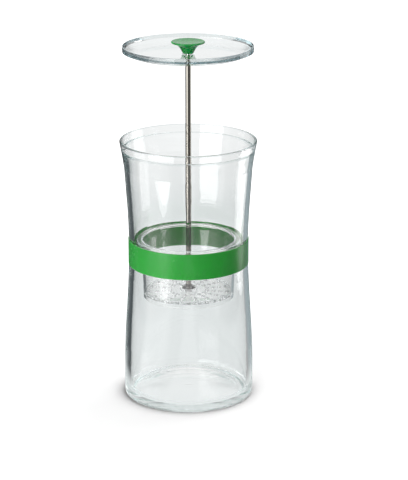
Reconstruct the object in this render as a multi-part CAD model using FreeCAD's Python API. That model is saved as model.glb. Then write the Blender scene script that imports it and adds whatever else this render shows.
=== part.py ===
import FreeCAD, Part
import math
import os

# Herb keeper: a waisted glass jar with a grip band, and a lid, knob, rod and
# perforated basket that lift out of it as one set.  Millimetres, +Z up, the
# jar stands on z = 0 and its axis is the Z axis.  The set is drawn raised.

V = FreeCAD.Vector
UP = V(0, 0, 1)

# --- jar -------------------------------------------------------------------
jar_height = 210.0       # foot to the crest of the lip
belly_r = 51.6           # outer radius of the full part of the body
waist_pull = 4.2         # how far the waist draws in from the belly
waist_share = 0.60       # height of the waist, as a share of the jar's
mouth_spread = 2.6       # how far the lip stands out beyond the belly
wall_low = 4.7           # glass thickness at the foot
wall_high = 3.4          # glass thickness under the lid seat
floor_t = 5.0            # glass floor, at the wall
foot_round = 3.2         # rounding of the foot's outer edge
foot_band = 7.5          # width of the ring the jar stands on
push_up = 2.0            # rise of the dome under the floor, inside the foot ring
mark_r = 3.0             # round mould mark in the middle of the dome
mark_depth = 0.25
corner_r = 6.0           # inner corner between wall and floor
lip_t = 2.3              # thickness of the fire-rounded lip
seat_depth = 6.5         # lid seat, below the crest of the lip
seat_w = 1.5             # width of the ledge the lid sits on
mouth_draft = 0.25       # the mouth opens by this much from seat to lip

# --- grip band ---------------------------------------------------------------
band_h = 20.8
band_t = 1.0
band_share = 0.57        # height of the band's middle, as a share of the jar's
band_recess = 0.5        # depth of the seat turned into the glass
band_round = 0.45
band_gap = 0.1           # stretched on: room left between band and glass

# --- lid -----------------------------------------------------------------------
lid_gap = 0.35           # radial room between lid and mouth
lid_ring_h = 4.1         # height of the lid's rim
lid_lip_w = 0.6          # flat left on top of the rim
lid_round = 0.25         # rounding of the rim's upper edge
lid_seat_w = 1.0         # flat under the rim, on the ledge
cove_w = 13.3            # width of the curve from the plate up to the rim
parting_share = 0.42     # height of the parting line, as a share of the rim's
parting_step = 0.12      # the rim is smaller by this much below the line
plate_drop = 2.0         # top of the plate, below the underside of the rim
plate_t = 1.8
boss_r = 5.0
boss_len = 4.0           # top of the plate to the end of the boss
boss_edge = 0.6          # chamfer of the boss

# --- knob and rod --------------------------------------------------------------
knob_r = 13.1
knob_h = 9.4
knob_neck_r = 4.1
knob_edge_r = 0.75       # rounding of the thin rim
knob_dish = 0.7          # hollow of the top face
rod_r = 2.22
stud_r = 1.5             # turned-down ends of the rod
stud_in_knob = 6.4
turn_gap = 0.05          # radial room of a stud in the bore it turns in
fit_gap = 0.03           # radial room of a stud in a piece it is fixed to
end_gap = 0.3            # axial room between pieces that turn past each other

# --- basket ----------------------------------------------------------------------
lip_gap = 2.3            # radial room between the flange and the waist
flange_w = 4.9           # from the cup's inner wall to the edge of the flange
flange_t = 1.9
cup_t = 1.6
cup_draft = 2.0          # the cup narrows by this much on the radius
basket_h = 48.2
skirt_h = 3.3            # foot ring below the perforated floor
basket_floor_t = 1.8
cup_corner_r = 1.5
hub_r = 6.5
hub_h = 4.0              # above the floor
pocket_r = 4.2           # pocket under the hub for washer and nut
pocket_depth = 2.6
hole_r = 1.75
hole_lines = 16          # radial lines of holes in the floor
hole_row_pitch = 5.35

# --- washer and nut --------------------------------------------------------------
washer_r = 3.5
washer_t = 0.5
nut_af = 5.5             # across flats
nut_h = 2.4

# --- lift ----------------------------------------------------------------------
rest_gap = 0.3           # the set hangs this far clear of the seat when shut
lift_drawn = 76.6        # the set is drawn this far above its shut place

# --- heights and radii that follow ------------------------------------------------
waist_z = waist_share * jar_height
band_z0 = band_share * jar_height - band_h / 2
band_z1 = band_z0 + band_h
seat_z = jar_height - seat_depth
flare_z = jar_height - 22.0
lip_z = jar_height - lip_t / 2


def pull(z):
    """Radius taken off the belly at height z by the waist."""
    reach = 0.5 * jar_height if z < waist_z else 0.44 * jar_height
    share = min(1.0, abs(z - waist_z) / reach)
    return waist_pull * 0.5 * (1 + math.cos(math.pi * share))


def flare(z, top, spread):
    """Radius added on the way up to height top."""
    share = max(0.0, (z - flare_z) / (top - flare_z))
    return spread * share ** 1.3


def outer_r(z):
    return belly_r - pull(z) + flare(z, lip_z, mouth_spread)


lip_r = outer_r(lip_z)
mouth_r = lip_r - lip_t - mouth_draft
lid_r = mouth_r - lid_gap - 0.1
seat_r = mouth_r - seat_w


def inner_r(z):
    wall = wall_low + (wall_high - wall_low) * z / seat_z
    plain = belly_r - pull(z) - wall
    rest = seat_r - (belly_r - pull(seat_z) - wall_high)
    return plain + flare(z, seat_z, rest)


band_seat_r = outer_r(waist_z) - band_recess
seat_top_z = seat_z + rest_gap + lift_drawn      # underside of the raised ring
plate_z = seat_top_z - plate_drop                # top of the raised plate
boss_z = plate_z - boss_len
knob_z = plate_z + end_gap
basket_z = floor_t + rest_gap + lift_drawn
basket_top_z = basket_z + basket_h
flange_r = inner_r(waist_z) - lip_gap
cup_top_r = flange_r - flange_w + cup_t          # outer radius under the flange
cup_foot_r = cup_top_r - cup_draft
basket_floor_z = basket_z + skirt_h
hub_z = basket_floor_z + basket_floor_t + hub_h
pocket_z = basket_floor_z + pocket_depth


# --- drawing helpers ---------------------------------------------------------------
def line(a, b):
    return Part.LineSegment(V(a[0], 0, a[1]), V(b[0], 0, b[1])).toShape()


def bow(a, b, c):
    """Circular arc from a to c through b."""
    return Part.Arc(*[V(p[0], 0, p[1]) for p in (a, b, c)]).toShape()


def wall_arcs(radius, z0, z1, count):
    """The radius function between two heights as a chain of arcs."""
    def at(share):
        z = z0 + (z1 - z0) * share / (2 * count)
        return radius(z), z
    return [bow(at(2 * i), at(2 * i + 1), at(2 * i + 2)) for i in range(count)]


def corner(centre, r, a0, a1):
    """Arc of radius r about centre, from angle a0 to a1 in degrees."""
    pts = [(centre[0] + r * math.cos(math.radians(a)),
            centre[1] + r * math.sin(math.radians(a)))
           for a in (a0, (a0 + a1) / 2, a1)]
    return bow(*pts)


def hollow(r, z, depth, flat):
    """Arc of a turned hollow, level where it ends; depth below 0 is a dome."""
    span = r - flat
    ball = (span * span + depth * depth) / (2 * depth)
    half = math.asin(span / ball) / 2
    middle = (flat + ball * math.sin(half), z - depth + ball * (1 - math.cos(half)))
    return bow((r, z), middle, (flat, z - depth))


def outline(points):
    """Closed outline from (radius, z, rounding) corners."""
    edges, ends = [], []
    n = len(points)
    for i, (x, z, r) in enumerate(points):
        if r <= 0:
            ends.append(((x, z), (x, z)))
            continue
        p = V(x, 0, z)
        a = V(points[i - 1][0], 0, points[i - 1][1]) - p
        b = V(points[(i + 1) % n][0], 0, points[(i + 1) % n][1]) - p
        a.normalize()
        b.normalize()
        half = a.getAngle(b) / 2
        cut = r / math.tan(half)
        middle = (a + b).normalize() * (r / math.sin(half) - r)
        first, mid, last = p + a * cut, p + middle, p + b * cut
        ends.append(((first.x, first.z), (last.x, last.z)))
        edges.append(Part.Arc(first, mid, last).toShape())
    for i in range(n):
        start, stop = ends[i - 1][1], ends[i][0]
        if math.dist(start, stop) > 1e-6:
            edges.append(line(start, stop))
    return edges


def turned(edges):
    """Revolve a closed outline about the axis."""
    wire = Part.Wire(Part.__sortEdges__(edges))
    return Part.Face(wire).revolve(V(0, 0, 0), UP, 360)


def drum(r, z0, z1):
    return Part.makeCylinder(r, z1 - z0, V(0, 0, z0))


# --- pieces ------------------------------------------------------------------------
def jar():
    """One-piece glass: foot ring, waisted wall, band seat, lid seat and lip."""
    z_foot = foot_round
    r_foot = outer_r(z_foot)
    r_stand = r_foot - foot_round
    r_hollow = r_stand - foot_band
    z_mark = push_up + mark_depth
    z_corner = floor_t + corner_r
    r_corner = inner_r(z_corner)
    r_band0, r_band1 = outer_r(band_z0), outer_r(band_z1)
    lip_mid = (lip_r - lip_t / 2, lip_z)
    r_inside = lip_r - lip_t
    z_ease = seat_z - 0.6
    edges = [
        line((0, z_mark), (mark_r, z_mark)),
        line((mark_r, z_mark), (mark_r, push_up)),
        hollow(r_hollow, 0, -push_up, mark_r),
        line((r_hollow, 0), (r_stand, 0)),
        corner((r_stand, foot_round), foot_round, -90, 0),
        line((r_band0, band_z0), (band_seat_r, band_z0)),
        line((band_seat_r, band_z0), (band_seat_r, band_z1)),
        line((band_seat_r, band_z1), (r_band1, band_z1)),
        bow((lip_r, lip_z), (lip_mid[0], jar_height), (r_inside, lip_z)),
        line((r_inside, lip_z), (mouth_r, seat_z)),
        line((mouth_r, seat_z), (seat_r + 0.6, seat_z)),
        corner((seat_r + 0.6, z_ease), 0.6, 90, 180),
        line((seat_r, z_ease), (inner_r(seat_z - 2.0), seat_z - 2.0)),
        corner((r_corner - corner_r, z_corner), corner_r, 0, -90),
        line((r_corner - corner_r, floor_t), (0, floor_t)),
        line((0, floor_t), (0, z_mark)),
    ]
    edges += wall_arcs(outer_r, z_foot, band_z0, 4)
    edges += wall_arcs(outer_r, band_z1, flare_z, 3) + wall_arcs(outer_r, flare_z, lip_z, 1)
    edges += wall_arcs(inner_r, z_corner, flare_z, 6)
    edges += wall_arcs(inner_r, flare_z, seat_z - 2.0, 1)
    return turned(edges)


def grip_band():
    """Sleeve stretched into its seat at the waist."""
    r0, r1 = band_seat_r + band_gap, band_seat_r + band_t
    z0, z1 = band_z0 + band_gap, band_z1 - band_gap
    return turned(outline([(r0, z0, 0), (r1, z0, band_round),
                           (r1, z1, band_round), (r0, z1, 0)]))


def lid():
    """Shallow dish: crisp rim on the seat, a curve down to the thin plate, and a boss."""
    z_top = seat_top_z + lid_ring_h
    z_under = plate_z - plate_t
    z_line = seat_top_z + parting_share * lid_ring_h
    r_lip, r_base = lid_r - lid_lip_w, lid_r - parting_step
    r_seat, r_plate = r_base - lid_seat_w, r_lip - cove_w
    z_round = z_top - lid_round
    bore = stud_r + turn_gap
    return turned([
        line((bore, plate_z), (r_plate, plate_z)),
        hollow(r_lip, z_top, z_top - plate_z, r_plate),
        line((r_lip, z_top), (lid_r - lid_round, z_top)),
        corner((lid_r - lid_round, z_round), lid_round, 90, 0),
        line((lid_r, z_round), (lid_r, z_line)),
        line((lid_r, z_line), (r_base, z_line - parting_step)),
        line((r_base, z_line - parting_step), (r_base, seat_top_z)),
        line((r_base, seat_top_z), (r_seat, seat_top_z)),
        hollow(r_seat, seat_top_z, seat_top_z - z_under, r_plate),
        line((r_plate, z_under), (boss_r, z_under)),
        line((boss_r, z_under), (boss_r, boss_z + boss_edge)),
        line((boss_r, boss_z + boss_edge), (boss_r - boss_edge, boss_z)),
        line((boss_r - boss_edge, boss_z), (bore, boss_z)),
        line((bore, boss_z), (bore, plate_z)),
    ])


def knob():
    """Trumpet-shaped pull with a thin rim and a dished top."""
    z = knob_z
    rim_in = knob_r - knob_edge_r
    under = (rim_in, z + knob_h - 2 * knob_edge_r)
    waist = (knob_neck_r + 0.115 * knob_r, z + 0.3 * knob_h)
    bore = stud_r + fit_gap
    hole_top = z + stud_in_knob + 0.3
    z_dish, flat = z + knob_h - knob_dish, 0.1 * knob_r
    edges = [
        line((bore, z), (knob_neck_r, z)),
        line((knob_neck_r, z), waist),
        bow(waist, (0.59 * knob_r, z + 0.6 * knob_h), under),
        corner((rim_in, z + knob_h - knob_edge_r), knob_edge_r, -90, 90),
        hollow(rim_in, z + knob_h, knob_dish, flat),
        line((flat, z_dish), (0, z_dish)),
        line((0, z_dish), (0, hole_top)),
        line((0, hole_top), (bore, hole_top)),
        line((bore, hole_top), (bore, z)),
    ]
    return turned(edges)


def rod():
    """Steel rod, turned down at both ends to pass the lid and the basket."""
    shoulder = boss_z - end_gap
    tip = pocket_z - washer_t - nut_h - 0.1
    top = knob_z + stud_in_knob
    c = 0.25
    return turned(outline([
        (0, tip, 0), (stud_r - c, tip, 0), (stud_r, tip + c, 0), (stud_r, hub_z, 0),
        (rod_r - c, hub_z, 0), (rod_r, hub_z + c, 0), (rod_r, shoulder - c, 0),
        (rod_r - c, shoulder, 0), (stud_r, shoulder, 0), (stud_r, top - c, 0),
        (stud_r - c, top, 0), (0, top, 0)]))


def ring_of_holes(radius, z0, z1):
    """Drills for one ring of round holes, one on each radial line."""
    drills = []
    for i in range(hole_lines):
        a = 2 * math.pi * (i + 0.5) / hole_lines
        at = V(radius * math.cos(a), radius * math.sin(a), z0)
        drills.append(Part.makeCylinder(hole_r, z1 - z0, at))
    return drills


def basket():
    """Flanged cup with a perforated floor on a foot ring, and a hub."""
    z_floor = basket_floor_z + basket_floor_t
    foot_in = cup_foot_r - cup_t
    bore = stud_r + fit_gap
    flange_z = basket_top_z - flange_t
    cup = turned(outline([
        (bore, hub_z, 0), (hub_r - 0.6, hub_z, 0), (hub_r, hub_z - 0.6, 0),
        (hub_r + 0.5, z_floor, 0), (foot_in, z_floor, cup_corner_r),
        (cup_top_r - cup_t, basket_top_z, 0.8), (flange_r, basket_top_z, 0.8),
        (flange_r, flange_z + 0.4, 0), (flange_r - 0.4, flange_z, 0),
        (cup_top_r, flange_z, 0), (cup_foot_r, basket_z + 0.6, 0),
        (cup_foot_r - 0.5, basket_z, 0), (foot_in - 0.3, basket_z, 0),
        (foot_in - 0.3, basket_floor_z, 0),
        (pocket_r, basket_floor_z, 0), (pocket_r, pocket_z, 0), (bore, pocket_z, 0)]))
    z0, z1 = basket_floor_z - 1, z_floor + 1
    drills, ring = [], foot_in - cup_corner_r - hole_r - 0.1
    while ring > hub_r + 2 * hole_r:
        drills += ring_of_holes(ring, z0, z1)
        ring -= hole_row_pitch
    return cup.cut(Part.makeCompound(drills))


def basket_washer():
    z = pocket_z - washer_t
    ring = drum(washer_r, z, pocket_z)
    return ring.cut(drum(stud_r + 0.1, z - 1, pocket_z + 1))


def basket_nut():
    """Hexagon nut with chamfered corners."""
    z1 = pocket_z - washer_t
    z0 = z1 - nut_h
    across = nut_af / math.cos(math.pi / 6)
    pts = [V(across / 2 * math.cos(math.pi / 3 * i), across / 2 * math.sin(math.pi / 3 * i), z0)
           for i in range(7)]
    hexagon = Part.Face(Part.makePolygon(pts)).extrude(V(0, 0, nut_h))
    flat = nut_af / 2
    round_off = Part.makeCone(flat + 0.05, flat + 0.05 + nut_h * 1.6, nut_h, V(0, 0, z0))
    return hexagon.common(round_off).cut(drum(stud_r + fit_gap, z0 - 1, z1 + 1))


NODES = {
    "jar": jar,
    "grip_band": grip_band,
    "lid": lid,
    "knob": knob,
    "rod": rod,
    "basket": basket,
    "basket_washer": basket_washer,
    "basket_nut": basket_nut,
}

os.makedirs("parts", exist_ok=True)
for name, make in NODES.items():
    shape = make()
    assert shape.isValid() and len(shape.Solids) == 1, name
    shape.Solids[0].exportStep("parts/" + name + ".step")
    box = shape.optimalBoundingBox()
    print(f"{name:14s} x {box.XMin:7.2f} {box.XMax:7.2f}  z {box.ZMin:7.2f} {box.ZMax:7.2f}"
          f"  volume {shape.Volume / 1000:8.2f} cm3")
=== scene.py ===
"""Looks of a herb keeper: finishes, floor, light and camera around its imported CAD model."""

import logging
import math
from dataclasses import dataclass

import bpy
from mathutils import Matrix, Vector

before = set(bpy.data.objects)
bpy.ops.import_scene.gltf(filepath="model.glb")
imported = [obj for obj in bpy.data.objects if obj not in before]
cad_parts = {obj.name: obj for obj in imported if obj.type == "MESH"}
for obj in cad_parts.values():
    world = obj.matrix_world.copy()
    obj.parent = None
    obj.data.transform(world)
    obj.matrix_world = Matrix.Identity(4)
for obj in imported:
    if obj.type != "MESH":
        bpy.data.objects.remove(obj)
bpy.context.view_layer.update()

log = logging.getLogger("herb_keeper")

MM = 0.001
WHITE = (1.0, 1.0, 1.0)
SLATE = (0.80, 0.95, 1.0)

Colour = tuple[float, float, float]
Place = tuple[float, float, float]
Span = tuple[float, float]

FULL_TURN = 2.0 * math.pi
MIX_SHARE, MIX_FIRST, MIX_SECOND, MIX_RESULT = 0, 6, 7, 2  # the Mix node's sockets for colours


@dataclass(frozen=True)
class Tone:
    """A stretch of the surroundings, by direction.

    Attributes:
        azimuth: degrees from straight in front of the keeper, positive to the right.
        level: how bright that direction is.
        tint: its colour.
    """

    azimuth: float
    level: float
    tint: Colour = WHITE


class Graph:
    """A node tree with short ways to add nodes and join them."""

    def __init__(self, tree: bpy.types.NodeTree) -> None:
        """Wraps a tree.

        Args:
            tree: the material, world or group tree that nodes are added to.
        """
        self.tree = tree

    def add(self, kind: str, **sockets: object) -> bpy.types.Node:
        """Adds a node and fills its input sockets.

        Args:
            kind: the node's type name, without the leading "ShaderNode".
            sockets: values or output sockets by input name, with _ for a space.

        Returns:
            The new node.
        """
        node = self.tree.nodes.new("ShaderNode" + kind)
        for name, value in sockets.items():
            self.feed(node.inputs[name.replace("_", " ")], value)
        return node

    def feed(self, socket: bpy.types.NodeSocket, value: object) -> None:
        """Links an output socket to an input, or writes a plain value to it.

        Args:
            socket: the input.
            value: an output socket, a number or a colour.
        """
        if isinstance(value, bpy.types.NodeSocket):
            self.tree.links.new(value, socket)
        elif isinstance(value, tuple) and socket.type == "RGBA":
            socket.default_value = (*value[:3], 1.0)
        else:
            socket.default_value = value

    def math(self, operation: str, *values: object) -> bpy.types.NodeSocket:
        """Adds a Math node.

        Args:
            operation: the node's operation.
            values: its inputs, in order.

        Returns:
            The result's socket.
        """
        node = self.add("Math")
        node.operation = operation
        for socket, value in zip(node.inputs, values):
            self.feed(socket, value)
        return node.outputs[0]

    def band(self, value: object, span: Span, result: Span = (0.0, 1.0)) -> bpy.types.NodeSocket:
        """Maps a value smoothly from one span to another.

        Args:
            value: what is mapped.
            span: the values between which the result changes.
            result: the result at and below the span, and at and above it.

        Returns:
            The result's socket.
        """
        node = self.add("MapRange", Value=value, From_Min=span[0], From_Max=span[1],
                        To_Min=result[0], To_Max=result[1])
        node.interpolation_type = "SMOOTHSTEP"
        return node.outputs["Result"]

    def blend(self, share: object, first: object, second: object) -> bpy.types.NodeSocket:
        """Mixes two colours.

        Args:
            share: how much of the second colour shows.
            first: the colour at a share of 0.
            second: the colour at a share of 1.

        Returns:
            The mixed colour's socket.
        """
        node = self.add("Mix")
        node.data_type = "RGBA"
        for number, value in ((MIX_SHARE, share), (MIX_FIRST, first), (MIX_SECOND, second)):
            self.feed(node.inputs[number], value)
        return node.outputs[MIX_RESULT]

    def place(self, axis_scale: Place = (1.0, 1.0, 1.0)) -> bpy.types.NodeSocket:
        """Gives the point's place on the piece, in metres, stretched along the axes.

        Args:
            axis_scale: factors along X, Y and Z.

        Returns:
            The place's socket.
        """
        node = self.add("Mapping", Vector=self.add("TexCoord").outputs["Object"], Scale=axis_scale)
        return node.outputs[0]

    def noise(self, place: bpy.types.NodeSocket, scale: object, detail: float = 2.0,
              roughness: float = 0.5) -> bpy.types.NodeSocket:
        """Adds fractal noise.

        Args:
            place: where on the piece.
            scale: cycles per metre.
            detail: octaves.
            roughness: how much the fine octaves count.

        Returns:
            The noise value's socket.
        """
        node = self.add("TexNoise", Vector=place, Scale=scale, Detail=detail, Roughness=roughness)
        return node.outputs["Fac"]

    def round_ramp(self, x: bpy.types.NodeSocket, y: bpy.types.NodeSocket,
                   tones: tuple[Tone, ...]) -> bpy.types.NodeSocket:
        """Gives the tone of a direction round the keeper.

        Args:
            x: the direction's X.
            y: the direction's Y.
            tones: tones by azimuth, from -180 to 180 degrees.

        Returns:
            The colour's socket.
        """
        azimuth = self.math("ARCTAN2", x, self.math("MULTIPLY", y, -1.0))
        half_way = 0.5
        node = self.add("ValToRGB", Fac=self.math("MULTIPLY_ADD", azimuth, 1.0 / FULL_TURN, half_way))
        ramp = node.color_ramp
        ramp.interpolation = "EASE"
        for _ in tones[len(ramp.elements):]:
            ramp.elements.new(half_way)
        for stop, tone in zip(ramp.elements, tones):
            stop.position = math.radians(tone.azimuth) / FULL_TURN + half_way
            stop.color = (*(tone.level * part for part in tone.tint), 1.0)
        return node.outputs["Color"]

    def use(self, group: bpy.types.NodeTree, **sockets: object) -> bpy.types.Node:
        """Places a node group and fills its inputs.

        Args:
            group: the group's tree.
            sockets: values or output sockets by input name, with _ for a space.

        Returns:
            The group node.
        """
        node = self.add("Group")
        node.node_tree = group
        for name, value in sockets.items():
            self.feed(node.inputs[name.replace("_", " ")], value)
        return node


def new_group(name: str, inputs: dict[str, float], outputs: tuple[str, ...]) -> tuple[
        bpy.types.NodeTree, Graph, bpy.types.Node, bpy.types.Node]:
    """Starts a shader node group with number sockets.

    Args:
        name: the group's name.
        inputs: default value by input name.
        outputs: output names.

    Returns:
        The group's tree, its graph, its input node and its output node.
    """
    tree = bpy.data.node_groups.new(name, "ShaderNodeTree")
    for label, value in inputs.items():
        socket = tree.interface.new_socket(label, in_out="INPUT", socket_type="NodeSocketFloat")
        socket.default_value = value
    for label in outputs:
        tree.interface.new_socket(label, in_out="OUTPUT", socket_type="NodeSocketFloat")
    graph = Graph(tree)
    return tree, graph, tree.nodes.new("NodeGroupInput"), tree.nodes.new("NodeGroupOutput")


class Effects:
    """The surface effects that several finishes share, each a node group built once."""

    PATCH_EDGE: Span = (0.48, 0.72)  # the noise values between which a dull patch sets in
    FLECK_EDGE: Span = (0.42, 0.75)  # the same for the flecks inside a patch
    FLECK_FILM: Span = (0.35, 1.0)  # how much of the film lies beside a fleck, and on it
    FLECK_FINER = 7.0  # flecks to each patch, along a line

    def __init__(self) -> None:
        """Builds the groups."""
        self.handling = self._handling()
        self.ripple = self._ripple()
        self.grain = self._grain()

    def _handling(self) -> bpy.types.NodeTree:
        """Builds the dull film that hands and washing leave, as a roughness.

        Returns:
            A group from Clean and Dull roughness and a Scale to Roughness and Mask.
        """
        tree, graph, given, result = new_group(
            "handling_film", {"Clean": 0.0, "Dull": 0.05, "Scale": 30.0}, ("Roughness", "Mask"))
        place = graph.place()
        broad = graph.noise(place, given.outputs["Scale"], detail=3.0)
        fine = graph.noise(place, graph.math("MULTIPLY", given.outputs["Scale"], self.FLECK_FINER))
        patches = graph.band(broad, self.PATCH_EDGE)
        flecks = graph.band(fine, self.FLECK_EDGE, self.FLECK_FILM)
        mask = graph.math("MULTIPLY", patches, flecks)
        spread = graph.math("SUBTRACT", given.outputs["Dull"], given.outputs["Clean"])
        roughness = graph.math("MULTIPLY_ADD", spread, mask, given.outputs["Clean"])
        graph.feed(result.inputs["Roughness"], roughness)
        graph.feed(result.inputs["Mask"], mask)
        return tree

    @staticmethod
    def _stretched(graph: Graph, along: bpy.types.NodeSocket) -> bpy.types.NodeSocket:
        """Gives the point's place, stretched along Z alone.

        Args:
            graph: the group's graph.
            along: the factor along Z.

        Returns:
            The place's socket.
        """
        stretch = graph.add("CombineXYZ", X=1.0, Y=1.0, Z=along)
        place = graph.add("VectorMath", Vector=graph.place())
        place.operation = "MULTIPLY"
        graph.feed(place.inputs[1], stretch.outputs[0])
        return place.outputs[0]

    def _ripple(self) -> bpy.types.NodeTree:
        """Builds the slow waviness of a pressed or moulded wall.

        Returns:
            A group from Scale, Upright stretch and Depth in metres to a Height in metres.
        """
        tree, graph, given, result = new_group(
            "wall_ripple", {"Scale": 14.0, "Upright": 0.45, "Depth": 0.0001}, ("Height",))
        place = self._stretched(graph, given.outputs["Upright"])
        wave = graph.noise(place, given.outputs["Scale"], detail=1.0, roughness=0.35)
        graph.feed(result.inputs["Height"], graph.math("MULTIPLY", wave, given.outputs["Depth"]))
        return tree

    def _grain(self) -> bpy.types.NodeTree:
        """Builds the fine texture of a mould or tool mark.

        Returns:
            A group from Scale, Along stretch and Depth in metres to a Height and a Mask.
        """
        tree, graph, given, result = new_group(
            "fine_grain", {"Scale": 2500.0, "Along": 1.0, "Depth": 0.00001}, ("Height", "Mask"))
        place = self._stretched(graph, given.outputs["Along"])
        speck = graph.noise(place, given.outputs["Scale"], roughness=0.6)
        graph.feed(result.inputs["Height"], graph.math("MULTIPLY", speck, given.outputs["Depth"]))
        graph.feed(result.inputs["Mask"], speck)
        return tree


def new_material(name: str) -> tuple[bpy.types.Material, Graph, bpy.types.Node, bpy.types.Node]:
    """Starts a node material with a Principled BSDF.

    Args:
        name: the material's name.

    Returns:
        The material, its graph, its Principled BSDF and its output node.
    """
    material = bpy.data.materials.new(name)
    material.use_nodes = True
    nodes = material.node_tree.nodes
    return material, Graph(material.node_tree), nodes["Principled BSDF"], nodes["Material Output"]


def bump(graph: Graph, height: bpy.types.NodeSocket) -> bpy.types.NodeSocket:
    """Turns a height in metres into a normal.

    Args:
        graph: the material's graph.
        height: the height's socket.

    Returns:
        The normal's socket.
    """
    return graph.add("Bump", Height=height, Strength=1.0, Distance=1.0).outputs["Normal"]


@dataclass(frozen=True)
class Translucency:
    """The light that goes under a coloured surface and comes out again.

    Attributes:
        share: the share of the light that does so.
        spread: how far red, green and blue go, as shares of the reach.
        reach: how far the light goes at most, in metres.
    """

    share: float
    spread: Colour
    reach: float

    def set_on(self, shader: bpy.types.Node) -> None:
        """Sets the translucency on a shader's own sockets.

        Args:
            shader: the Principled BSDF.
        """
        shader.inputs["Subsurface Weight"].default_value = self.share
        shader.inputs["Subsurface Radius"].default_value = self.spread
        shader.inputs["Subsurface Scale"].default_value = self.reach


@dataclass(frozen=True)
class ClearFinish:
    """A clear solid: glass or a clear plastic.

    Attributes:
        name: the material's name.
        ior: refractive index.
        tint: colour of the light that a metre of it lets through, with absorption.
        absorption: density of that absorption, per metre.
        clean: roughness of the clean surface.
        dull: roughness where it has been handled.
        film_scale: cycles per metre of the handled patches.
        ripple_scale: cycles per metre of the wall's waviness.
        ripple_depth: height of the waviness, in metres.
    """

    name: str
    ior: float
    tint: Colour
    absorption: float
    clean: float
    dull: float
    film_scale: float
    ripple_scale: float
    ripple_depth: float

    def make(self, effects: Effects) -> bpy.types.Material:
        """Builds the material.

        Args:
            effects: the shared effects.

        Returns:
            The material.
        """
        material, graph, shader, output = new_material(self.name)
        film = graph.use(effects.handling, Clean=self.clean, Dull=self.dull, Scale=self.film_scale)
        ripple = graph.use(effects.ripple, Scale=self.ripple_scale, Depth=self.ripple_depth)
        shader.inputs["Base Color"].default_value = (*WHITE, 1.0)
        shader.inputs["Transmission Weight"].default_value = 1.0
        shader.inputs["IOR"].default_value = self.ior
        graph.feed(shader.inputs["Roughness"], film.outputs["Roughness"])
        graph.feed(shader.inputs["Normal"], bump(graph, ripple.outputs["Height"]))
        volume = graph.add("VolumeAbsorption", Color=self.tint, Density=self.absorption)
        graph.feed(output.inputs["Volume"], volume.outputs[0])
        return material


@dataclass(frozen=True)
class SiliconeFinish:
    """Satin silicone rubber, lightly translucent.

    Attributes:
        name: the material's name.
        colour: its colour.
        worn: the colour where dust and handling have paled it.
        roughness: roughness of the clean rubber.
        dull: roughness where it has been handled.
        paled: the share of the worn colour in a handled patch.
        film_scale: cycles per metre of the handled patches.
        grain_scale: cycles per metre of the mould's grain.
        grain_depth: height of the grain, in metres.
        ripple_scale: cycles per metre of the waviness.
        ripple_depth: height of the waviness, in metres.
        ior: refractive index.
        inside: the light that goes under its surface.
    """

    name: str
    colour: Colour
    worn: Colour
    roughness: float
    dull: float
    paled: float = 0.2
    film_scale: float = 45.0
    grain_scale: float = 2600.0
    grain_depth: float = 0.000012
    ripple_scale: float = 55.0
    ripple_depth: float = 0.00006
    ior: float = 1.42
    inside: Translucency = Translucency(share=0.8, spread=(0.2, 1.0, 0.25), reach=3.5 * MM)

    def make(self, effects: Effects) -> bpy.types.Material:
        """Builds the material.

        Args:
            effects: the shared effects.

        Returns:
            The material.
        """
        material, graph, shader, _ = new_material(self.name)
        film = graph.use(effects.handling, Clean=self.roughness, Dull=self.dull, Scale=self.film_scale)
        grain = graph.use(effects.grain, Scale=self.grain_scale, Depth=self.grain_depth)
        ripple = graph.use(effects.ripple, Scale=self.ripple_scale, Depth=self.ripple_depth, Upright=1.0)
        paled = graph.math("MULTIPLY", film.outputs["Mask"], self.paled)
        graph.feed(shader.inputs["Base Color"], graph.blend(paled, self.colour, self.worn))
        graph.feed(shader.inputs["Roughness"], film.outputs["Roughness"])
        height = graph.math("ADD", grain.outputs["Height"], ripple.outputs["Height"])
        graph.feed(shader.inputs["Normal"], bump(graph, height))
        shader.inputs["IOR"].default_value = self.ior
        self.inside.set_on(shader)
        return material


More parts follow.
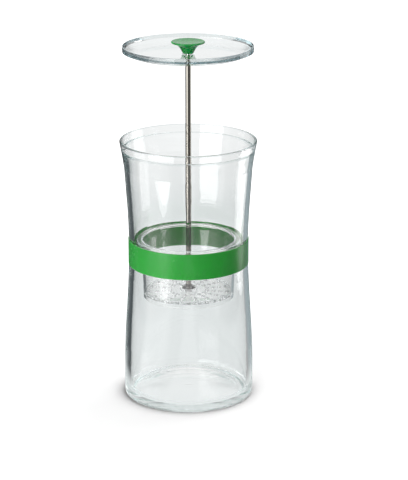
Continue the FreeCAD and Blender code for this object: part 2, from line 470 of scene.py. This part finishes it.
@dataclass(frozen=True)
class MouldedFinish:
    """Coloured glossy plastic, moulded with a clear depth to it.

    Attributes:
        name: the material's name.
        colour: its colour.
        deep: the colour of its darker streaks.
        roughness: roughness of the clean surface.
        dull: roughness where it has been handled.
        film_scale: cycles per metre of the handled patches.
        streak_scale: cycles per metre of the streaks.
        streak_edge: the noise values between which a streak sets in.
        streak_upright: stretch of the streaks along Z; under 1 draws them up the piece.
        ripple_scale: cycles per metre of the waviness.
        ripple_depth: height of the waviness, in metres.
        ripple_upright: stretch of the waviness along Z.
        ior: refractive index.
        inside: the light that goes under its surface.
    """

    name: str
    colour: Colour
    deep: Colour
    roughness: float
    dull: float
    film_scale: float = 90.0
    streak_scale: float = 160.0
    streak_edge: Span = (0.35, 0.75)
    streak_upright: float = 0.35
    ripple_scale: float = 130.0
    ripple_depth: float = 0.00004
    ripple_upright: float = 0.3
    ior: float = 1.5
    inside: Translucency = Translucency(share=0.5, spread=(0.1, 1.0, 0.25), reach=3.0 * MM)

    def make(self, effects: Effects) -> bpy.types.Material:
        """Builds the material.

        Args:
            effects: the shared effects.

        Returns:
            The material.
        """
        material, graph, shader, _ = new_material(self.name)
        film = graph.use(effects.handling, Clean=self.roughness, Dull=self.dull, Scale=self.film_scale)
        flow = graph.use(effects.ripple, Scale=self.ripple_scale, Depth=self.ripple_depth,
                         Upright=self.ripple_upright)
        streak = graph.noise(graph.place((1.0, 1.0, self.streak_upright)), self.streak_scale, detail=3.0)
        share = graph.band(streak, self.streak_edge)
        graph.feed(shader.inputs["Base Color"], graph.blend(share, self.colour, self.deep))
        graph.feed(shader.inputs["Roughness"], film.outputs["Roughness"])
        graph.feed(shader.inputs["Normal"], bump(graph, flow.outputs["Height"]))
        shader.inputs["IOR"].default_value = self.ior
        self.inside.set_on(shader)
        return material


@dataclass(frozen=True)
class SteelFinish:
    """Stainless steel with fine drawing lines.

    Attributes:
        name: the material's name.
        colour: its colour.
        roughness: roughness of the clean steel.
        dull: roughness where it has been handled.
        line_scale: cycles per metre of the drawing lines.
        line_along: stretch along Z; under 1 draws lines up the piece.
        line_depth: depth of the lines, in metres.
        line_edge: the noise values between which a line sets in.
        line_tone: the most that a line is darkened.
        darkest: the darkened colour, as a share of the steel's.
        film_scale: cycles per metre of the handled patches.
    """

    name: str
    colour: Colour
    roughness: float
    dull: float
    line_scale: float
    line_along: float
    line_depth: float
    line_edge: Span = (0.3, 0.7)
    line_tone: float = 0.25
    darkest: float = 0.6
    film_scale: float = 120.0

    def make(self, effects: Effects) -> bpy.types.Material:
        """Builds the material.

        Args:
            effects: the shared effects.

        Returns:
            The material.
        """
        material, graph, shader, _ = new_material(self.name)
        film = graph.use(effects.handling, Clean=self.roughness, Dull=self.dull, Scale=self.film_scale)
        lines = graph.use(effects.grain, Scale=self.line_scale, Along=self.line_along,
                          Depth=self.line_depth)
        tone = graph.band(lines.outputs["Mask"], self.line_edge, (0.0, self.line_tone))
        darker = tuple(self.darkest * part for part in self.colour)
        graph.feed(shader.inputs["Base Color"], graph.blend(tone, self.colour, darker))
        shader.inputs["Metallic"].default_value = 1.0
        graph.feed(shader.inputs["Roughness"], film.outputs["Roughness"])
        graph.feed(shader.inputs["Normal"], bump(graph, lines.outputs["Height"]))
        return material


JAR_GLASS = ClearFinish("jar_glass_clear", ior=1.5, tint=(0.45, 0.60, 0.59), absorption=3.5, clean=0.0,
                        dull=0.03, film_scale=24.0, ripple_scale=13.0, ripple_depth=0.00004)
LID_PLASTIC = ClearFinish("lid_plastic_clear", ior=1.53, tint=(0.40, 0.54, 0.57), absorption=22.0,
                          clean=0.0, dull=0.04, film_scale=40.0, ripple_scale=24.0, ripple_depth=0.00002)
BASKET_PLASTIC = ClearFinish("basket_plastic_clear", ior=1.53, tint=(0.50, 0.62, 0.64), absorption=6.0,
                             clean=0.0, dull=0.04, film_scale=40.0, ripple_scale=24.0, ripple_depth=0.00002)
BAND_SILICONE = SiliconeFinish("band_silicone_green", colour=(0.038, 0.42, 0.060),
                               worn=(0.08, 0.42, 0.11), roughness=0.24, dull=0.30)
KNOB_PLASTIC = MouldedFinish("knob_plastic_emerald", colour=(0.001, 0.36, 0.060),
                             deep=(0.001, 0.28, 0.045), roughness=0.22, dull=0.32)
ROD_STEEL = SteelFinish("rod_steel_polished", colour=(0.29, 0.275, 0.245), roughness=0.05, dull=0.12,
                        line_scale=3500.0, line_along=0.02, line_depth=0.000002)
FIXING_STEEL = SteelFinish("fixing_steel_plated", colour=(0.58, 0.58, 0.58), roughness=0.22, dull=0.35,
                           line_scale=2500.0, line_along=1.0, line_depth=0.000003)


def dress(node: str, material: bpy.types.Material) -> None:
    """Gives a CAD node its finish.

    Args:
        node: the node's name.
        material: the finish.
    """
    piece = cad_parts[node]
    for slot in piece.material_slots:
        slot.material = material


@dataclass
class GlassJar:
    """The jar and the grip band at its waist, on the base body."""

    jar: str = "jar"
    band: str = "grip_band"

    def dress(self, effects: Effects) -> None:
        """Gives both pieces their finishes.

        Args:
            effects: the shared effects.
        """
        dress(self.jar, JAR_GLASS.make(effects))
        dress(self.band, BAND_SILICONE.make(effects))


@dataclass
class LiftSet:
    """The lid with its knob, and the rod that carries the basket."""

    lid: str = "lid"
    knob: str = "knob"
    rod: str = "rod"
    basket: str = "basket"
    washer: str = "basket_washer"
    nut: str = "basket_nut"

    def dress(self, effects: Effects) -> None:
        """Gives each piece its finish.

        Args:
            effects: the shared effects.
        """
        dress(self.lid, LID_PLASTIC.make(effects))
        dress(self.basket, BASKET_PLASTIC.make(effects))
        dress(self.knob, KNOB_PLASTIC.make(effects))
        dress(self.rod, ROD_STEEL.make(effects))
        fixing = FIXING_STEEL.make(effects)
        dress(self.washer, fixing)
        dress(self.nut, fixing)


@dataclass(frozen=True)
class Viewpoint:
    """The camera: level, in front of the keeper and tilted down.

    Attributes:
        distance: from the keeper's axis, in metres.
        height: above the floor, in metres.
        pitch: tilt below the horizon, in degrees.
        yaw: turn to the right of the axis, in degrees.
        lens: focal length, in millimetres on the sensor.
        sensor: sensor width, in millimetres.
        clip: the nearest and farthest that it sees, in metres.
    """

    distance: float = 1.5
    height: float = 0.5875
    pitch: float = 17.05
    yaw: float = 0.471
    lens: float = 173.97
    sensor: float = 36.0
    clip: Span = (0.01, 50.0)

    def make(self) -> None:
        """Builds the camera and makes it the scene's own."""
        data = bpy.data.cameras.new("camera")
        data.sensor_fit = "HORIZONTAL"
        data.sensor_width = self.sensor
        data.lens = self.lens
        data.clip_start, data.clip_end = self.clip
        camera = bpy.data.objects.new("camera", data)
        camera.location = (0.0, -self.distance, self.height)
        camera.rotation_euler = (math.radians(90.0 - self.pitch), 0.0, -math.radians(self.yaw))
        bpy.context.scene.collection.objects.link(camera)
        bpy.context.scene.camera = camera


@dataclass(frozen=True)
class Card:
    """An upright light card with rounded corners, which only gloss and glass can see.

    Attributes:
        name: the card's name.
        azimuth: where it stands, in degrees from straight in front, positive to the right.
        reach: its distance from the keeper's axis, in metres.
        width: in metres.
        low: height of its lower edge, in metres.
        high: height of its upper edge, in metres.
        level: how bright it is.
        corner: radius of its corners, as a share of its shorter side.
        corner_steps: straight pieces in each corner.
    """

    name: str
    azimuth: float
    reach: float
    width: float
    low: float
    high: float
    level: float
    corner: float = 0.45
    corner_steps: int = 8

    def build(self) -> None:
        """Builds the card."""
        mesh = bpy.data.meshes.new(self.name)
        outline = self._outline()
        mesh.from_pydata(outline, [], [tuple(range(len(outline)))])
        mesh.materials.append(self._glow())
        card = bpy.data.objects.new(self.name, mesh)
        bpy.context.scene.collection.objects.link(card)
        card.visible_camera = False
        card.visible_diffuse = False
        card.visible_shadow = False

    def _glow(self) -> bpy.types.Material:
        """Builds the card's plain glow.

        Returns:
            The material.
        """
        material = bpy.data.materials.new(self.name + "_glow")
        material.use_nodes = True
        material.node_tree.nodes.clear()
        graph = Graph(material.node_tree)
        glow = graph.add("Emission", Color=WHITE, Strength=self.level)
        graph.feed(graph.add("OutputMaterial").inputs["Surface"], glow.outputs[0])
        return material

    def _outline(self) -> list[Vector]:
        """Works out the card's outline.

        Returns:
            Its points, in order.
        """
        turn = math.radians(self.azimuth)
        middle = Vector((math.sin(turn), -math.cos(turn), 0.0)) * self.reach
        across = Vector((math.cos(turn), math.sin(turn), 0.0))
        r = self.corner * min(self.width, self.high - self.low)
        side, top, bottom = self.width / 2 - r, self.high - r, self.low + r
        points = []
        centres = ((side, top), (-side, top), (-side, bottom), (side, bottom))
        for quarter, (out, up) in enumerate(centres):
            for step in range(self.corner_steps + 1):
                a = math.pi / 2 * (quarter + step / self.corner_steps)
                offset = across * (out + r * math.cos(a))
                points.append(middle + offset + Vector((0.0, 0.0, up + r * math.sin(a))))
        return points


def lit_surface(graph: Graph, path: bpy.types.Node) -> bpy.types.NodeSocket:
    """Finds the rays that light a matte surface.

    Args:
        graph: the graph to add to.
        path: its Light Path node.

    Returns:
        The mask's socket: 1 where a matte surface is lit, else 0.
    """
    return graph.math("MINIMUM", path.outputs["Diffuse Depth"], 1.0)


def seen_through(graph: Graph, path: bpy.types.Node) -> bpy.types.NodeSocket:
    """Finds the rays with no reflection on the way, so straight ones through the glass.

    Args:
        graph: the graph to add to.
        path: its Light Path node.

    Returns:
        The mask's socket: 1 with no reflection on the way, else 0.
    """
    return graph.math("LESS_THAN", path.outputs["Glossy Depth"], 1.0)


@dataclass(frozen=True)
class Floor:
    """The white floor, with a shade painted round the keeper's foot, and the tones that gloss and glass see
    on it.

    Attributes:
        half: half the floor's side, in metres.
        drop: how far it lies under the keeper's foot, in metres.
        matte: the share of light that it scatters.
        lift: the glow that is added for the camera's own rays; it is held back round the foot, which paints
            a shade there.
        shade_middle: the middle of that painted shade round the foot, in metres to the right and back.
        shade_edge: where the painted shade begins to fade, from its middle, in metres.
        shade_reach: how fast it fades, in metres.
        open_lift: the glow that is added on the open floor, for the camera's own rays.
        open_span: where that glow begins and where it is full, in metres from the shade's middle.
        near_tone: its tone close to the keeper, in gloss and glass.
        far_tone: its tone far off, straight through the glass.
        far_span: where far off begins and where it is full, in metres from the shade's middle.
        tones: its tones in gloss and in reflections inside glass, by direction.
        tones_span: where those tones begin and where they are full, in metres to the side or front.
        apex: half the distance between the two points that they fan out from, in metres.
        fill: the light that it throws on matte surfaces, by direction.
    """

    half: float = 6.0
    drop: float = 0.0002
    matte: float = 0.68
    lift: float = 0.72
    shade_middle: tuple[float, float] = (-0.0015, 0.002)
    shade_edge: float = 0.0504
    shade_reach: float = 0.0046
    open_lift: float = 0.4
    open_span: Span = (0.058, 0.3)
    near_tone: Colour = (0.80, 0.84, 0.84)
    far_tone: Colour = (0.93, 0.95, 0.95)
    far_span: Span = (0.5, 0.7)
    tones: tuple[Tone, ...] = (
        Tone(-180.0, 0.82), Tone(-175.5, 0.6), Tone(-171.0, 0.14, SLATE), Tone(-128.0, 0.08, SLATE),
        Tone(-116.0, 0.22), Tone(-85.0, 0.35), Tone(-74.0, 1.1), Tone(-34.0, 1.0),
        Tone(-20.0, 0.45), Tone(-6.0, 0.35), Tone(0.0, 0.8), Tone(6.0, 0.30), Tone(12.0, 0.15),
        Tone(46.0, 0.15), Tone(60.0, 0.25), Tone(105.0, 0.3), Tone(134.0, 0.42), Tone(141.0, 0.44, SLATE),
        Tone(156.0, 0.40, SLATE), Tone(171.0, 0.32, SLATE), Tone(175.5, 0.6), Tone(180.0, 0.82),
    )
    tones_span: Span = (0.056, 0.0896)
    apex: float = 0.045
    fill: tuple[Tone, ...] = (
        Tone(-180.0, 0.7), Tone(-110.0, 0.6), Tone(-70.0, 1.45), Tone(-25.0, 1.65), Tone(5.0, 1.25),
        Tone(45.0, 0.05), Tone(100.0, 0.1), Tone(180.0, 0.7),
    )

    def build(self) -> None:
        """Lays the floor just under the keeper's foot."""
        mesh = bpy.data.meshes.new("floor")
        signs = ((-1, -1), (1, -1), (1, 1), (-1, 1))
        corners = [(x * self.half, y * self.half, -self.drop) for x, y in signs]
        mesh.from_pydata(corners, [], [(0, 1, 2, 3)])
        mesh.materials.append(self._material())
        floor = bpy.data.objects.new("floor", mesh)
        bpy.context.scene.collection.objects.link(floor)

    def _material(self) -> bpy.types.Material:
        """Builds the floor's finish.

        Returns:
            The material.
        """
        material = bpy.data.materials.new("floor_white")
        material.use_nodes = True
        material.node_tree.nodes.clear()
        graph = Graph(material.node_tree)
        path = graph.add("LightPath")
        x, y, _ = graph.add("SeparateXYZ", Vector=graph.add("NewGeometry").outputs["Position"]).outputs
        right = graph.math("SUBTRACT", x, self.shade_middle[0])
        back = graph.math("SUBTRACT", y, self.shade_middle[1])
        back_squared = graph.math("MULTIPLY", back, back)
        away = graph.math("SQRT", graph.math("MULTIPLY_ADD", right, right, back_squared))
        matte = graph.add("BsdfDiffuse", Color=(self.matte,) * 3)
        # Painted shade: the camera's glow is held back round the foot, so the floor darkens there like a
        # contact shadow, on top of the real shadow in the matte part.
        past = graph.math("MAXIMUM", graph.math("SUBTRACT", away, self.shade_edge), 0.0)
        shade = graph.math("EXPONENT", graph.math("DIVIDE", past, -self.shade_reach))
        rise = graph.math("MULTIPLY_ADD", shade, -self.lift, self.lift)
        open_rise = graph.band(away, self.open_span, (0.0, self.open_lift))
        glow = graph.math("MULTIPLY", path.outputs["Is Camera Ray"], graph.math("ADD", rise, open_rise))
        lift = graph.add("Emission", Color=WHITE, Strength=glow)
        direct = graph.add("AddShader")
        graph.feed(direct.inputs[0], matte.outputs[0])
        graph.feed(direct.inputs[1], lift.outputs[0])
        lit = lit_surface(graph, path)
        mirrored = graph.math("MAXIMUM", path.outputs["Is Glossy Ray"], path.outputs["Is Transmission Ray"])
        plain = graph.blend(graph.band(away, self.far_span), self.near_tone, self.far_tone)
        seen = graph.blend(seen_through(graph, path), self._tone(graph, x, y), plain)
        shown = graph.blend(lit, seen, graph.round_ramp(x, y, self.fill))
        toned = graph.add("Emission", Color=shown, Strength=1.0)
        total = graph.add("MixShader")
        graph.feed(total.inputs[0], graph.math("MAXIMUM", lit, mirrored))
        graph.feed(total.inputs[1], direct.outputs[0])
        graph.feed(total.inputs[2], toned.outputs[0])
        graph.feed(graph.add("OutputMaterial").inputs["Surface"], total.outputs[0])
        return material

    def _tone(self, graph: Graph, x: bpy.types.NodeSocket, y: bpy.types.NodeSocket) -> bpy.types.NodeSocket:
        """Works out the floor's tone in gloss and in reflections inside glass.

        Args:
            graph: the floor's graph.
            x: where on the floor, to the right.
            y: where on the floor, to the back.

        Returns:
            The colour's socket.
        """
        aside = graph.math("ABSOLUTE", x)
        beyond = graph.math("MAXIMUM", graph.math("SUBTRACT", aside, self.apex), 0.0)
        fanned = graph.math("MULTIPLY", graph.math("SIGN", x), beyond)
        toned = graph.round_ramp(fanned, y, self.tones)
        off = graph.math("MAXIMUM", aside, graph.math("MULTIPLY", y, -1.0))
        return graph.blend(graph.band(off, self.tones_span), self.near_tone, toned)


@dataclass(frozen=True)
class Room:
    """The surroundings above the floor, painted on the world.

    Attributes:
        tones: its tones in gloss and in reflections inside glass, by direction.
        fill: the light that it throws on matte surfaces, by direction.
        overhead: the tone from above, and of all that is seen straight through the glass.
        roof: the light that comes from above onto matte surfaces.
        overhead_span: where above begins and where it is full, as the direction's height.
        skirting: the tone of a thin line along the horizon, as a share of the tone round it.
        skirting_span: where that line begins to end and where it ends, as the direction's height.
    """

    tones: tuple[Tone, ...] = (
        Tone(-180.0, 0.9), Tone(-173.0, 0.85), Tone(-168.0, 0.10), Tone(-157.0, 0.08), Tone(-146.0, 0.25),
        Tone(-100.0, 0.4), Tone(-60.0, 0.4), Tone(0.0, 0.9), Tone(90.0, 0.5), Tone(146.0, 0.25),
        Tone(157.0, 0.08), Tone(168.0, 0.10), Tone(173.0, 0.85), Tone(180.0, 0.9),
    )
    fill: tuple[Tone, ...] = (
        Tone(-180.0, 0.8), Tone(-110.0, 0.8), Tone(-70.0, 1.45), Tone(-25.0, 1.65), Tone(5.0, 1.25),
        Tone(45.0, 0.15), Tone(100.0, 0.15), Tone(180.0, 0.8),
    )
    overhead: float = 0.95
    roof: float = 0.1
    overhead_span: Span = (0.25, 0.45)
    skirting: float = 0.35
    skirting_span: Span = (0.01, 0.05)

    def build(self) -> None:
        """Paints the room by direction, and plain white for the camera's own rays."""
        world = bpy.data.worlds.new("studio")
        bpy.context.scene.world = world
        world.use_nodes = True
        world.node_tree.nodes.clear()
        graph = Graph(world.node_tree)
        x, y, z = graph.add("SeparateXYZ", Vector=graph.add("TexCoord").outputs["Generated"]).outputs
        path = graph.add("LightPath")
        lit = lit_surface(graph, path)
        around = graph.blend(lit, graph.round_ramp(x, y, self.tones), graph.round_ramp(x, y, self.fill))
        line = graph.band(graph.math("ABSOLUTE", z), self.skirting_span, (self.skirting, 1.0))
        wall = graph.add("VectorMath", Vector=around)
        wall.operation = "SCALE"
        graph.feed(wall.inputs["Scale"], line)
        up = graph.band(z, self.overhead_span)
        above = graph.blend(lit, (self.overhead,) * 3, (self.roof,) * 3)
        through = graph.math("MULTIPLY", seen_through(graph, path), graph.math("SUBTRACT", 1.0, lit))
        tone = graph.blend(through, graph.blend(up, wall.outputs[0], above), (self.overhead,) * 3)
        shown = graph.blend(path.outputs["Is Camera Ray"], tone, WHITE)
        background = graph.add("Background", Color=shown, Strength=1.0)
        graph.feed(graph.add("OutputWorld").inputs["Surface"], background.outputs[0])


@dataclass(frozen=True)
class Lamp:
    """A soft square lamp that points at the keeper's foot.

    Attributes:
        name: the lamp's name.
        place: where it hangs, in metres.
        side: length of its side, in metres.
        power: in watts.
    """

    name: str
    place: Place
    side: float
    power: float

    def build(self) -> None:
        """Hangs the lamp."""
        data = bpy.data.lights.new(self.name, "AREA")
        data.shape = "SQUARE"
        data.size = self.side
        data.energy = self.power
        lamp = bpy.data.objects.new(self.name, data)
        lamp.location = self.place
        lamp.rotation_euler = (-lamp.location).to_track_quat("-Z", "Y").to_euler()
        lamp.visible_glossy = False
        lamp.visible_transmission = False
        bpy.context.scene.collection.objects.link(lamp)


@dataclass(frozen=True)
class Studio:
    """A plain white studio: floor, surroundings, reflection cards and soft lamps."""

    floor: Floor = Floor()
    room: Room = Room()
    cards: tuple[Card, ...] = (
        Card("streak_card", azimuth=110.5, reach=0.30, width=0.165, low=0.014, high=0.36, level=2.2),
        Card("softbox_card", azimuth=-45.0, reach=0.42, width=0.35, low=0.0, high=0.6, level=3.8),
    )
    lamps: tuple[Lamp, ...] = (
        Lamp("soft_top", (0.0, 0.0, 1.7), side=1.0, power=1.0),
        Lamp("soft_key", (-0.5, -1.2, 0.9), side=0.5, power=5.0),
        Lamp("soft_back", (0.45, 0.45, 1.1), side=0.5, power=3.0),
    )

    def build(self) -> None:
        """Builds everything round the keeper."""
        self.floor.build()
        self.room.build()
        for fitting in (*self.cards, *self.lamps):
            fitting.build()


def deepen_glass(bounces: int = 128) -> None:
    """Lets light pass the many surfaces of the jar, basket and lid.

    Args:
        bounces: the most surfaces that one ray passes.
    """
    cycles = bpy.context.scene.cycles
    cycles.max_bounces = cycles.transmission_bounces = cycles.glossy_bounces = bounces


def main() -> None:
    """Dresses the keeper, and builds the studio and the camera."""
    logging.basicConfig(level=logging.INFO, format="%(name)s: %(message)s")
    effects = Effects()
    GlassJar().dress(effects)
    LiftSet().dress(effects)
    Studio().build()
    Viewpoint().make()
    deepen_glass()
    bpy.context.scene.view_settings.view_transform = "Standard"
    bpy.context.view_layer.update()


if __name__ == "__main__":
    main()
